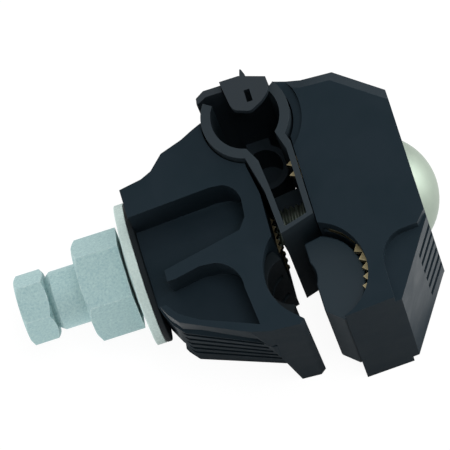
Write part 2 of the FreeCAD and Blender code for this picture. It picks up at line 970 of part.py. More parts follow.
def base_run_seal():
    """Half-moon block that fills the base jaw's groove behind its recess."""
    body = new_body("base_run_seal")
    recess = size("RunRecess")
    radius = size("RunRadius") - size("SealClearance")
    left = size("InsertLeft")
    sketch = new_sketch(body, "HalfMoonSketch", height=recess)
    add_outline(
        sketch,
        [
            (left, -10.0),
            (left, -24.6),
            polar(run, radius, -73.0),
            (*polar(run, radius, 0.0), radius, "left"),
            (*polar(run, radius, 71.0), radius, "left"),
        ],
    )
    block = pad(body, sketch, "HalfMoon", depth - recess * 2)
    channel = new_sketch(body, "ChannelSketch", height=recess)
    add_circle(channel, cable, size("CableRadius"))
    pocket(body, channel, "Channel", depth - recess * 2, along_normal=True)
    return body


# Contact plates


def tooth_column(x_root, x_tip, y_start, pitch, count):
    """Teeth along a straight edge that runs down the Y axis."""
    points = []
    for step in range(count):
        top = as_size(y_start) - as_size(pitch) * step
        points.append((x_root, top))
        points.append((x_tip, top - as_size(pitch) / 2))
    points.append((x_root, as_size(y_start) - as_size(pitch) * count))
    return points


def tooth_arc(centre, root, tip, start, finish, count):
    """Teeth along an arc, from one angle to another."""
    points = []
    pitch = (finish - start) / count
    for step in range(count):
        points.append(polar(centre, root, start + pitch * step))
        points.append(polar(centre, tip, start + pitch * (step + 0.5)))
    points.append(polar(centre, root, finish))
    return points


def base_blade(level):
    body = new_body("base_blade_" + level)
    root = size("RunRadius")
    outer = root + size("BladeBand")
    tip = root - size("ToothDepth")
    sketch = new_sketch(body, "BaseBladeSketch" + level, height=base_blade_levels[level])
    add_outline(
        sketch,
        [
            *tooth_column(
                base_parting - 0.4,
                base_parting - size("TapToothDepth"),
                size("TapToothTop"),
                size("TapToothPitch"),
                SIZES["TapTeeth"],
            ),
            (base_parting + 0.2, tap_teeth_low - 0.2),
            (base_parting + 0.2, parting_bottom + 1.5),
            (base_parting + 0.6, parting_bottom + 1.5),
            polar(run, root, 60.0),
            (*polar(run, root, groove_teeth_start), root, "right"),
            *tooth_arc(run, root, tip, groove_teeth_start, groove_teeth_end, SIZES["GrooveTeeth"])[1:],
            polar(run, outer, groove_teeth_end),
            (*polar(run, outer, 60.0), outer, "left"),
            (base_parting + 4.6, -4.0),
            (base_parting + 4.6, 7.8),
            (base_parting - 0.4, 7.8),
        ],
    )
    pad(body, sketch, "BaseBlade" + level, blade)
    return body


def head_blade(level):
    body = new_body("head_blade_" + level)
    root = gutter - 0.4
    tip = size("CableRadius") + 0.5
    sketch = new_sketch(body, "HeadBladeSketch" + level, height=head_blade_levels[level])
    add_outline(
        sketch,
        [
            (parting - 7.4, 3.0),
            (-10.4, -9.0),
            (-11.4, -20.6),
            *reversed(tooth_arc(cable, root, tip, 122.0, 214.0, 7)),
            (parting - 0.2, parting_bottom + 1.0),
            *reversed(tooth_column(parting, parting + 0.7, 0.6, 1.5, 5)),
            (parting - 0.5, 3.0),
        ],
    )
    pad(body, sketch, "HeadBlade" + level, blade)
    return body


# End cap


def end_cap():
    """Cup at the back, strap over the top and eyelet tab in front of the ring."""
    body = new_body("end_cap")
    back = size("CupBack")
    strap_low = size("StrapBottom")
    strap_high = strap_low + size("StrapThickness")
    front = depth + size("RingProud") + size("TabGap")
    tab_left = size("TabLeft")
    strap_right = size("StrapRight")
    cup = new_sketch(body, "CupSketch", height=back)
    add_circle(cup, tap, size("CupRadius"))
    pad(body, cup, "Cup", size("CupLength"))
    strap = new_sketch(body, "StrapSketch", height=back)
    add_outline(
        strap, rectangle(tap[0] - 2.5, tap[1] + size("CupRadius") - 1, tap[0] + 2.5, strap_high)
    )
    pad(body, strap, "StrapRoot", size("CupLength"))
    strap_right_high = strap_high - size("StrapFall")
    roof = new_sketch(body, "RoofSketch", height=back)
    add_outline(
        roof,
        [
            (tab_left, strap_low),
            (tab_left + 6, strap_low),
            (strap_right, strap_right_high - 1.0),
            (strap_right, strap_right_high),
            (tab_left + 4, strap_high),
            (tab_left, strap_high),
        ],
    )
    pad(body, roof, "Strap", front + size("TabThickness") - back)
    lip = new_sketch(body, "LipSketch", height=back)
    strap_left = size("StrapLeft")
    add_outline(
        lip,
        [
            (tab_left + 1, strap_high - 0.1),
            (strap_left + 1.6, strap_high - 0.1),
            (strap_left - 0.2, strap_high - 1.2),
            (strap_left - 0.4, strap_low - 0.7),
            (strap_left + 0.4, strap_low - 0.4),
            (strap_left + 1.8, strap_low + 0.3),
            (tab_left + 1, strap_low + 0.3),
        ],
    )
    pad(body, lip, "StrapLip", depth + size("RingProud") - back)
    tab = new_sketch(body, "TabSketch", height=front)
    add_outline(
        tab,
        [
            (tab_left, strap_high - 0.2),
            (tab_left - 0.2, size("TabBottom") + 2.4),
            (tab_left + 0.3, size("TabBottom") + 1.2),
            (0.6, size("TabBottom")),
            (3.4, size("TabBottom") + 1.4),
            (5.2, size("TabBottom") + 3.0),
            (strap_right, size("TabBottom") + 4.6),
            (strap_right, strap_right_high - 0.2),
            (tab_left + 4, strap_high - 0.2),
        ],
    )
    pad(body, tab, "Tab", size("TabThickness"))
    hollow = new_sketch(body, "HollowSketch", height=back + size("CupLength"))
    add_circle(hollow, tap, size("CupRadius") - size("CupWall"))
    pocket(body, hollow, "Hollow", size("CupLength") - size("CupWall"))
    eye_x = size("EyeX")
    eye_y = size("EyeY")
    half_eye = size("EyeLength") / 2
    eye = new_sketch(body, "EyeSketch", height=front + size("TabThickness"))
    add_outline(
        eye,
        rectangle(
            eye_x - size("EyeWidth") / 2, eye_y - half_eye, eye_x + size("EyeWidth") / 2, eye_y + half_eye
        ),
    )
    pocket(body, eye, "Eye", size("TabThickness"))
    tail = new_sketch(body, "TailSketch", height=front - 1.2)
    add_outline(
        tail,
        [
            (eye_x - 0.9, strap_high - 0.5),
            (eye_x + 0.7, strap_high - 0.5),
            (eye_x + 0.5, strap_high + 0.7),
            (eye_x - 0.1, size("TailTop")),
        ],
    )
    pad(body, tail, "PullTail", 1.0)
    return body


head_jaw()
base_jaw()
carriage_bolt()
shear_nut()
washer("seal_washer", seat, size("SealWasherThickness"), 0.0)
washer("steel_washer", washer_face, size("WasherThickness"), size("WasherDish"))
tap_seal()
head_run_seal()
base_run_seal()
for plate_level in base_blade_levels:
    base_blade(plate_level)
    head_blade(plate_level)
end_cap()
doc.recompute()

# Every object has to be sound before any file is written
for item in doc.Objects:
    if "Invalid" in item.State or "Error" in item.State:
        raise ValueError("%s failed: %s" % (item.Label, item.State))
os.makedirs("parts", exist_ok=True)
for item in sub_parts:
    if item.Shape.isNull() or not item.Shape.isValid():
        raise ValueError("%s has no sound shape" % item.Label)
    solids = len(item.Shape.Solids)
    print("%-18s %d solid, %8.1f mm3" % (item.Label, solids, item.Shape.Volume))
    if solids != 1:
        raise ValueError("%s is in %d pieces" % (item.Label, solids))
for item in sub_parts:
    item.Shape.exportStep("parts/%s.step" % item.Label)
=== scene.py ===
"""Looks of a branch clamp for insulated overhead line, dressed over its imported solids.

The clamp lies on its back face. X runs along the bolt towards the domed head, Y towards the tap
groove and Z out of the front face. Lengths are in metres, and sizes named _mm in millimetres.
"""

import logging
import math
from collections.abc import Callable, Iterable
from dataclasses import dataclass, field, replace
from enum import Enum

import bmesh
import bpy
from mathutils import Matrix, Vector


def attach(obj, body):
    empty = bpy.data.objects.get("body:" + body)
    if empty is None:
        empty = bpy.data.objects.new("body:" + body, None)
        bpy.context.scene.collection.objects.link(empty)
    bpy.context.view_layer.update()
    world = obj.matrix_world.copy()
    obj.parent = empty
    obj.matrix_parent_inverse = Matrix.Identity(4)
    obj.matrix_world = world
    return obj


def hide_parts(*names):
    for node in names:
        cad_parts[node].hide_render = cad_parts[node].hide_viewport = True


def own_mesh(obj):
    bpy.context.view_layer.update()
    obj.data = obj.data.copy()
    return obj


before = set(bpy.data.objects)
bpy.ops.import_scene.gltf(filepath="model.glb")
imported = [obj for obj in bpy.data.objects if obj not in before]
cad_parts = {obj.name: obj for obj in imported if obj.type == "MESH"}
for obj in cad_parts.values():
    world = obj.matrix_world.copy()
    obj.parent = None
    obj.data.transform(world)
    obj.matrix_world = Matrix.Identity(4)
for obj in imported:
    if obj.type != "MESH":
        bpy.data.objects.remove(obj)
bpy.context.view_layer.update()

log = logging.getLogger("branch_clamp")
MM = 0.001
BOLT_AXIS = Vector((0.0, 0.0, 0.023))

# The angle in degrees from which an edge counts as sharp and is rounded.
SHARP_DEG = 28.0

# The places of the Mix node's sockets that blend colours.
MIX_SHARE, MIX_FIRST, MIX_SECOND, MIX_RESULT = 0, 6, 7, 2


class Body(str, Enum):
    """The bodies that move against each other."""

    BASE = "base"
    HEAD = "head"
    NUT = "nut"


class Slot(str, Enum):
    """The record's material slots."""

    JAW = "jaw_plastic"
    SEAL = "seal_rubber"
    LOOP = "loop_rubber"
    CAP = "cap_rubber"
    INSERT = "insert_rubber"
    ZINC = "zinc_steel"
    CONTACT = "contact_metal"


# Shared shader effects


@dataclass
class NodeDesk:
    """Lays out and joins the nodes of one tree.

    Args:
        tree: the node tree of a material or of a group.
    """

    tree: bpy.types.NodeTree

    def add(self, kind: str, **values: object) -> bpy.types.Node:
        """Adds a node.

        Args:
            kind: the node's type name.
            values: its settings, or its inputs by name with spaces as underscores.

        Returns:
            The new node.
        """
        node = self.tree.nodes.new(kind)
        for name, value in values.items():
            label = name.replace("_", " ")
            if hasattr(node, name) and name not in ("inputs", "outputs"):
                setattr(node, name, value)
            elif label in node.inputs:
                node.inputs[label].default_value = value
            else:
                raise KeyError(f"{kind} has no {name}")
        return node

    def join(self, start: bpy.types.NodeSocket, end: bpy.types.NodeSocket) -> None:
        """Links two sockets."""
        self.tree.links.new(start, end)

    def math(self, operation: str, first: object, second: object = None) -> bpy.types.NodeSocket:
        """Works out one value from two.

        Args:
            operation: the Math node's operation.
            first: a socket or a number.
            second: a socket, a number or nothing.

        Returns:
            The socket with the result.
        """
        node = self.add("ShaderNodeMath", operation=operation)
        for socket, value in zip(node.inputs, (first, second)):
            if isinstance(value, bpy.types.NodeSocket):
                self.join(value, socket)
            elif value is not None:
                socket.default_value = value
        return node.outputs[0]

    def spread(
        self,
        value: bpy.types.NodeSocket,
        low: float,
        high: float,
        start: float = 0.0,
        end: float = 1.0,
    ) -> bpy.types.NodeSocket:
        """Maps a value from one range to another, smoothly and clamped.

        Args:
            value: the socket to map.
            low: what maps to start.
            high: what maps to end.
            start: the result at low.
            end: the result at high.

        Returns:
            The socket with the mapped value.
        """
        node = self.add("ShaderNodeMapRange", interpolation_type="SMOOTHSTEP")
        self.join(value, node.inputs["Value"])
        ends = {"From Min": low, "From Max": high, "To Min": start, "To Max": end}
        for name, number in ends.items():
            node.inputs[name].default_value = number
        return node.outputs["Result"]

    def noise(
        self, place: bpy.types.NodeSocket, per_metre: bpy.types.NodeSocket, **values: float
    ) -> bpy.types.NodeSocket:
        """A noise value over the surface.

        Args:
            place: the coordinates.
            per_metre: how many features lie in a metre.
            values: the noise node's other inputs.

        Returns:
            The noise's value.
        """
        node = self.add("ShaderNodeTexNoise", **values)
        self.join(place, node.inputs["Vector"])
        self.join(per_metre, node.inputs["Scale"])
        return node.outputs["Fac"]

    def blend(
        self, share: bpy.types.NodeSocket, first: object, second: object
    ) -> bpy.types.NodeSocket:
        """Blends two colours.

        Args:
            share: how much of the second shows.
            first: a colour or a socket.
            second: a colour or a socket.

        Returns:
            The blended colour.
        """
        node = self.add("ShaderNodeMix", data_type="RGBA")
        self.join(share, node.inputs[MIX_SHARE])
        for place, value in ((MIX_FIRST, first), (MIX_SECOND, second)):
            socket = node.inputs[place]
            if isinstance(value, bpy.types.NodeSocket):
                self.join(value, socket)
            else:
                socket.default_value = (*value, 1.0)
        return node.outputs[MIX_RESULT]


@dataclass
class Effects:
    """The effects that more than one material uses, each a node group built once.

    Args:
        edge_reach_mm: how far from an edge its wear and painted highlight reach.
        edge_samples: how many rays find the edges.
        edge_span: how much a rounded edge turns a face, as 1 less the cosine, where wear and
            painted
        highlight start and where they are whole.
        patch_span: the noise values between which the wear and painted highlight set in.
        grain: fine relief.
        clouds: soft blotches.
        edges: worn edges with a painted highlight.
    """

    edge_reach_mm: float = 0.5
    edge_samples: int = 4
    edge_span: tuple[float, float] = (0.01, 0.2)
    patch_span: tuple[float, float] = (0.35, 0.7)
    grain: bpy.types.NodeTree = field(init=False)
    clouds: bpy.types.NodeTree = field(init=False)
    edges: bpy.types.NodeTree = field(init=False)

    def __post_init__(self) -> None:
        """Builds the three groups."""
        self.grain = self._grain()
        self.clouds = self._clouds()
        self.edges = self._edges()

    @staticmethod
    def _group(
        name: str, numbers: dict[str, float], output: str
    ) -> tuple[NodeDesk, dict[str, bpy.types.NodeSocket], bpy.types.NodeSocket]:
        """Starts a group that reads a place and some numbers and puts out one value.

        Args:
            name: the group's name.
            numbers: its number inputs with their first values.
            output: the name of its output.

        Returns:
            The desk of its tree, its inputs by name and the socket of its output.
        """
        number, vector = "NodeSocketFloat", "NodeSocketVector"
        tree = bpy.data.node_groups.new(name, "ShaderNodeTree")
        tree.interface.new_socket("Place", in_out="INPUT", socket_type=vector)
        for title, value in numbers.items():
            socket = tree.interface.new_socket(title, in_out="INPUT", socket_type=number)
            socket.default_value = value
        tree.interface.new_socket(output, in_out="OUTPUT", socket_type=number)
        desk = NodeDesk(tree)
        given = desk.add("NodeGroupInput").outputs
        out = desk.add("NodeGroupOutput").inputs[output]
        return desk, {title: given[title] for title in ("Place", *numbers)}, out

    def _grain(self) -> bpy.types.NodeTree:
        """Fine even relief, as a spark-eroded mould or a zinc bath leaves it.

        Returns:
            The group.
        """
        desk, given, out = self._group("fine_grain", {"Size mm": 0.2}, "Height")
        per_metre = desk.math("DIVIDE", 1000.0, given["Size mm"])
        desk.join(desk.noise(given["Place"], per_metre, Detail=3.0, Roughness=0.6), out)
        return desk.tree

    def _clouds(self) -> bpy.types.NodeTree:
        """Soft blotches from 0 to 1, for flow marks, zinc spangle and handling.

        Returns:
            The group.
        """
        numbers = {"Size mm": 6.0, "Contrast": 2.0}
        desk, given, out = self._group("soft_clouds", numbers, "Mask")
        per_metre = desk.math("DIVIDE", 1000.0, given["Size mm"])
        value = desk.noise(given["Place"], per_metre, Detail=4.0, Roughness=0.55, Distortion=0.6)
        stretched = desk.math("MULTIPLY", desk.math("SUBTRACT", value, 0.5), given["Contrast"])
        moved = desk.math("ADD", stretched, 0.5)
        moved.node.use_clamp = True
        desk.join(moved, out)
        return desk.tree

    def _edges(self) -> bpy.types.NodeTree:
        """A broken mask of the edges, from the angle between a face and its rounded self, for
        wear and a painted highlight.

        Returns:
            The group.
        """
        numbers = {"Break up mm": 1.2, "Amount": 0.5}
        desk, given, out = self._group("worn_and_highlit_edges", numbers, "Mask")
        rounded = desk.add(
            "ShaderNodeBevel", samples=self.edge_samples, Radius=self.edge_reach_mm * MM
        )
        flat = desk.add("ShaderNodeNewGeometry")
        dot = desk.add("ShaderNodeVectorMath", operation="DOT_PRODUCT")
        desk.join(rounded.outputs["Normal"], dot.inputs[0])
        desk.join(flat.outputs["Normal"], dot.inputs[1])
        turned = desk.math("SUBTRACT", 1.0, dot.outputs["Value"])
        edge = desk.spread(turned, *self.edge_span)
        per_metre = desk.math("DIVIDE", 1000.0, given["Break up mm"])
        broken = desk.noise(given["Place"], per_metre, Detail=3.0, Roughness=0.7)
        patches = desk.spread(broken, *self.patch_span)
        mask = desk.math("MULTIPLY", desk.math("MULTIPLY", edge, patches), given["Amount"])
        desk.join(mask, out)
        return desk.tree


# Finishes


@dataclass(frozen=True)
class Finish:
    """A surface finish: two tones that drift into each other, with grain and gloss.

    Args:
        name: the material's name.
        tone: the main colour, linear.
        second_tone: the colour of the blotches, linear.
        edge_tone: the colour of the edges, worn and with a painted highlight, linear.
        metallic: 1 for bare metal.
        roughness: lowest and highest roughness.
        cloud_mm: the size of the blotches.
        contrast: how sharp the blotches are.
        grain_mm: the size of the fine relief.
        grain_depth_mm: its depth.
        wear_and_highlight: how much the edges show wear and a painted highlight, 0 to 1.
        specular: strength of the plain reflection.
        specular_tint: its colour.
    """

    name: str
    tone: tuple[float, float, float]
    second_tone: tuple[float, float, float]
    edge_tone: tuple[float, float, float]
    metallic: float = 0.0
    roughness: tuple[float, float] = (0.45, 0.6)
    cloud_mm: float = 9.0
    contrast: float = 2.0
    grain_mm: float = 0.18
    grain_depth_mm: float = 0.006
    wear_and_highlight: float = 0.3
    specular: float = 0.5
    specular_tint: tuple[float, float, float] = (1.0, 1.0, 1.0)

    def material(self, effects: Effects) -> bpy.types.Material:
        """Builds the finish as a node material.

        Args:
            effects: the shared effects.

        Returns:
            The material.
        """
        material = bpy.data.materials.new(self.name)
        material.use_nodes = True
        material.node_tree.nodes.clear()
        desk = NodeDesk(material.node_tree)
        place = desk.add("ShaderNodeTexCoord").outputs["Object"]
        clouds = self._effect(
            desk, effects.clouds, place, Size_mm=self.cloud_mm, Contrast=self.contrast
        )
        edges = self._effect(desk, effects.edges, place, Amount=self.wear_and_highlight)
        grain = self._effect(desk, effects.grain, place, Size_mm=self.grain_mm)
        shader = desk.add(
            "ShaderNodeBsdfPrincipled",
            Metallic=self.metallic,
            Specular_IOR_Level=self.specular,
            Specular_Tint=(*self.specular_tint, 1.0),
        )
        drift = desk.blend(clouds, self.tone, self.second_tone)
        # Edges take the edge tone, which is partly wear and partly a painted highlight.
        desk.join(desk.blend(edges, drift, self.edge_tone), shader.inputs["Base Color"])
        desk.join(desk.spread(clouds, 0.0, 1.0, *self.roughness), shader.inputs["Roughness"])
        bump = desk.add("ShaderNodeBump", Strength=1.0, Distance=self.grain_depth_mm * MM)
        desk.join(grain, bump.inputs["Height"])
        desk.join(bump.outputs["Normal"], shader.inputs["Normal"])
        output = desk.add("ShaderNodeOutputMaterial")
        desk.join(shader.outputs["BSDF"], output.inputs["Surface"])
        return material

    @staticmethod
    def _effect(
        desk: NodeDesk, tree: bpy.types.NodeTree, place: bpy.types.NodeSocket, **values: float
    ) -> bpy.types.NodeSocket:
        """Places a shared effect and gives it the object's own coordinates.

        Args:
            desk: the material's desk.
            tree: the effect.
            place: the object's coordinates.
            values: the effect's inputs.

        Returns:
            The effect's output.
        """
        node = desk.add("ShaderNodeGroup", node_tree=tree)
        for name, value in values.items():
            node.inputs[name.replace("_", " ")].default_value = value
        desk.join(place, node.inputs["Place"])
        return node.outputs[0]


# In each finish below, the lighter edge tone is partly wear and partly a painted highlight on the
# edges.
JAW_NYLON = Finish(
    "jaw_nylon",
    tone=(0.012, 0.021, 0.028),
    second_tone=(0.016, 0.025, 0.033),
    edge_tone=(0.024, 0.034, 0.040),
    grain_mm=0.3,
    grain_depth_mm=0.012,
    roughness=(0.4, 0.5),
    specular=0.045,
    specular_tint=(0.85, 1.0, 0.98),
)
LOOP_RUBBER = Finish(
    "loop_moulding",
    tone=(0.009, 0.016, 0.021),
    second_tone=(0.012, 0.02, 0.026),
    edge_tone=(0.025, 0.033, 0.038),
    roughness=(0.5, 0.62),
    wear_and_highlight=0.2,
    specular=0.3,
)
CAP_RUBBER = Finish(
    "cap_moulding",
    tone=(0.011, 0.017, 0.022),
    second_tone=(0.014, 0.021, 0.027),
    edge_tone=(0.03, 0.036, 0.04),
    roughness=(0.48, 0.6),
    wear_and_highlight=0.2,
    specular=0.3,
)
INSERT_RUBBER = Finish(
    "groove_moulding",
    tone=(0.01, 0.02, 0.028),
    second_tone=(0.014, 0.025, 0.033),
    edge_tone=(0.03, 0.036, 0.042),
    roughness=(0.5, 0.6),
    wear_and_highlight=0.2,
    specular=0.3,
)
SEAL_RUBBER = Finish(
    "thin_black_seal",
    tone=(0.004, 0.007, 0.009),
    second_tone=(0.006, 0.009, 0.011),
    edge_tone=(0.016, 0.021, 0.024),
    roughness=(0.6, 0.75),
    wear_and_highlight=0.1,
    specular=0.2,
)
ZINC = Finish(
    "bright_zinc",
    tone=(0.33, 0.48, 0.50),
    second_tone=(0.52, 0.67, 0.66),
    edge_tone=(0.80, 0.88, 0.85),
    metallic=1.0,
    roughness=(0.60, 0.74),
    cloud_mm=0.45,
    contrast=3.0,
    grain_mm=0.35,
    grain_depth_mm=0.02,
    wear_and_highlight=0.7,
)
PALE_ZINC = replace(
    ZINC, name="pale_zinc", tone=(0.52, 0.63, 0.61), second_tone=(0.68, 0.78, 0.75), wear_and_highlight=0.4
)
DOME_ZINC = Finish(
    "dull_zinc",
    tone=(0.27, 0.325, 0.27),
    second_tone=(0.325, 0.375, 0.32),
    edge_tone=(0.6, 0.66, 0.62),
    metallic=1.0,
    roughness=(0.5, 0.6),
    cloud_mm=1.5,
    contrast=1.2,
    grain_mm=0.3,
    grain_depth_mm=0.006,
    wear_and_highlight=0.3,
)
# Painted shade: the plates' tone is kept dark as though they lay in the grooves' shade; their
# bright edge tone is a painted highlight.
CONTACT = Finish(
    "gilt_contact_painted_shade",
    tone=(0.18, 0.15, 0.08),
    second_tone=(0.28, 0.24, 0.14),
    edge_tone=(0.75, 0.66, 0.42),
    metallic=1.0,
    roughness=(0.32, 0.46),
    cloud_mm=1.5,
    contrast=3.0,
    grain_mm=0.2,
    grain_depth_mm=0.004,
    wear_and_highlight=0.6,
)


# Studio


@dataclass(frozen=True)
class Lamp:
    """A soft area lamp.

    Args:
        name: its name.
        place: where it stands.
        aim: the point that it shines at.
        width: its side.
        power: its power in watts.
        mirrored: whether it shows in reflections.
    """

    name: str
    place: tuple[float, float, float]
    aim: tuple[float, float, float]
    width: float
    power: float
    mirrored: bool = True

    def build(self) -> None:
        """Adds the lamp to the scene."""
        data = bpy.data.lights.new(self.name, "AREA")
        data.shape = "SQUARE"
        data.size = self.width
        data.energy = self.power
        lamp = bpy.data.objects.new(self.name, data)
        bpy.context.scene.collection.objects.link(lamp)
        place = Vector(self.place)
        turn = (Vector(self.aim) - place).to_track_quat("-Z", "Y")
        lamp.matrix_world = Matrix.Translation(place) @ turn.to_matrix().to_4x4()
        lamp.visible_glossy = self.mirrored


@dataclass
class Studio:
    """Camera, floor, lamps and surroundings.

    Args:
        azimuth: the camera's turn from square on, towards the dome, in degrees.
        tilt: its turn towards the run groove, in degrees.
        roll: the picture's roll, in degrees.
        distance: from the aim point.
        aim: the point in the middle of the picture.
        picture_width: the picture's width in pixels.
        focal_pixels: focal length in those pixels.
        sensor_width: the camera's sensor, in millimetres.
        clip: the nearest and the furthest that the camera sees.
        floor_half: half the floor's side.
        floor_drop: how far it lies below the clamp, so that the two faces don't share a plane.
        floor_tone: its tone where it only returns light.
        gloss_tone: its tone in reflections, darker than floor_tone as a painted shade.
        seen_tone: its tone where the camera sees it, which keeps the clamp's shadow.
        seen_glow: its glow there, which makes it white.
        world_strength: the even light from all round.
        mirrored_strength: how bright the surroundings are in reflections.
        seen_strength: how bright they are to the camera and through clear pieces.
        bright_left: where along X the table's painted glow in reflections starts to rise towards
            the
        nut and where it ends, with its glow at both.
        bright_right: the same towards the domed head.
        lamps: the lamps.
    """

    azimuth: float = 2.26
    tilt: float = 18.22
    roll: float = -17.04
    distance: float = 0.8
    aim: tuple[float, float, float] = (-0.01201, 0.004545, 0.023)
    picture_width: int = 450
    focal_pixels: float = 3889.1
    sensor_width: float = 36.0
    clip: tuple[float, float] = (0.01, 20.0)
    floor_half: float = 3.0
    floor_drop: float = 0.0001
    floor_tone: float = 0.8
    gloss_tone: float = 0.3
    seen_tone: float = 0.12
    seen_glow: float = 0.93
    world_strength: float = 0.22
    mirrored_strength: float = 0.9
    seen_strength: float = 1.0
    bright_left: tuple[float, float, float, float] = (-0.032, -0.042, 0.0, 1.15)
    bright_right: tuple[float, float, float, float] = (0.024, 0.03, 0.0, 1.0)
    lamps: tuple[Lamp, ...] = (
        Lamp("lamp_front", (0.10, -0.14, 0.85), (0, 0, 0.02), 0.3, 3.8, mirrored=False),
        Lamp("lamp_above", (0.15, 0.55, 0.65), (0, 0, 0.02), 1.0, 1.2),
        Lamp("lamp_right", (0.75, 0.12, 0.16), (0, 0, 0.02), 0.5, 5.0),
    )

    def camera(self) -> None:
        """Adds the camera at the photograph's angle."""
        turn, lean, roll = (math.radians(v) for v in (self.azimuth, self.tilt, self.roll))
        back = Vector(
            (math.sin(turn) * math.cos(lean), -math.sin(lean), math.cos(turn) * math.cos(lean))
        )
        side = Vector((0, 1, 0)).cross(back).normalized()
        up = back.cross(side)
        right = math.cos(roll) * side + math.sin(roll) * up
        top = -math.sin(roll) * side + math.cos(roll) * up
        data = bpy.data.cameras.new("camera")
        data.sensor_width = self.sensor_width
        data.lens = self.sensor_width * self.focal_pixels / self.picture_width
        data.clip_start, data.clip_end = self.clip
        camera = bpy.data.objects.new("camera", data)
        bpy.context.scene.collection.objects.link(camera)
        place = Vector(self.aim) + back * self.distance
        turned = Matrix((right, top, back)).transposed().to_4x4()
        camera.matrix_world = Matrix.Translation(place) @ turned
        bpy.context.scene.camera = camera

    def floor(self) -> None:
        """Adds the white table top that the clamp lies on."""
        Workbench().clear()
        size, place = 2 * self.floor_half, (0, 0, -self.floor_drop)
        bpy.ops.mesh.primitive_plane_add(size=size, location=place)
        floor = bpy.context.object
        floor.name = "floor"
        bpy.ops.object.transform_apply(location=True, rotation=True, scale=True)
        floor.data.materials.append(self._table_top())

    def _table_top(self) -> bpy.types.Material:
        """Builds the table's white, which differs with the ray that meets it.

        Returns:
            The material.
        """
        material = bpy.data.materials.new("white_table")
        material.use_nodes = True
        material.node_tree.nodes.clear()
        desk = NodeDesk(material.node_tree)
        rays = desk.add("ShaderNodeLightPath").outputs
        mirrored = desk.math("MAXIMUM", rays["Is Glossy Ray"], rays["Is Transmission Ray"])
        tone = self.floor_tone
        plain = desk.add("ShaderNodeBsdfDiffuse", Color=(tone, tone, tone, 1.0))
        across = desk.add("ShaderNodeSeparateXYZ")
        desk.join(desk.add("ShaderNodeTexCoord").outputs["Object"], across.inputs[0])
        # Painted reflection: to glossy rays the table is darker than its own tone, which paints
        # shade into the clamp's reflections, and it glows towards the nut and the domed head,
        # which paints bright reflections there.
        right = desk.spread(across.outputs["X"], *self.bright_right)
        left = desk.spread(across.outputs["X"], *self.bright_left)
        in_gloss = self._glowing(desk, self.gloss_tone, desk.math("ADD", left, right))
        in_view = self._glowing(desk, self.seen_tone, self.seen_glow)
        first = desk.add("ShaderNodeMixShader")
        desk.join(mirrored, first.inputs[0])
        desk.join(plain.outputs[0], first.inputs[1])
        desk.join(in_gloss, first.inputs[2])
        second = desk.add("ShaderNodeMixShader")
        desk.join(rays["Is Camera Ray"], second.inputs[0])
        desk.join(first.outputs[0], second.inputs[1])
        desk.join(in_view, second.inputs[2])
        output = desk.add("ShaderNodeOutputMaterial")
        desk.join(second.outputs[0], output.inputs["Surface"])
        return material

    @staticmethod
    def _glowing(desk: NodeDesk, tone: float, glow: object) -> bpy.types.NodeSocket:
        """A matte white that also glows.

        Args:
            desk: the floor's desk.
            tone: how much light it returns, which keeps the shadow.
            glow: how much light it gives, a number or a socket.

        Returns:
            The shader's socket.
        """
        matte = desk.add("ShaderNodeBsdfDiffuse", Color=(tone, tone, tone, 1.0))
        light = desk.add("ShaderNodeEmission", Color=(1.0, 1.0, 1.0, 1.0))
        if isinstance(glow, bpy.types.NodeSocket):
            desk.join(glow, light.inputs["Strength"])
        else:
            light.inputs["Strength"].default_value = glow
        both = desk.add("ShaderNodeAddShader")
        desk.join(matte.outputs[0], both.inputs[0])
        desk.join(light.outputs[0], both.inputs[1])
        return both.outputs[0]

    def world(self) -> None:
        """Surrounds the scene with even light, white where it is seen."""
        world = bpy.data.worlds.new("studio")
        bpy.context.scene.world = world
        world.use_nodes = True
        world.node_tree.nodes.clear()
        desk = NodeDesk(world.node_tree)
        rays = desk.add("ShaderNodeLightPath")
        white = (1.0, 1.0, 1.0, 1.0)
        even = desk.add("ShaderNodeBackground", Color=white, Strength=self.world_strength)
        shader = even.outputs[0]
        strengths = {
            "Is Glossy Ray": self.mirrored_strength,
            "Is Transmission Ray": self.seen_strength,
            "Is Camera Ray": self.seen_strength,
        }
        for ray, strength in strengths.items():
            seen = desk.add("ShaderNodeBackground", Color=white, Strength=strength)
            mix = desk.add("ShaderNodeMixShader")
            desk.join(rays.outputs[ray], mix.inputs[0])
            desk.join(shader, mix.inputs[1])
            desk.join(seen.outputs[0], mix.inputs[2])
            shader = mix.outputs[0]
        output = desk.add("ShaderNodeOutputWorld")
        desk.join(shader, output.inputs["Surface"])

    def build(self) -> None:
        """Builds the whole studio."""
        bpy.context.scene.view_settings.view_transform = "Standard"
        self.camera()
        self.floor()
        self.world()
        for lamp in self.lamps:
            lamp.build()


# Modelling by hand


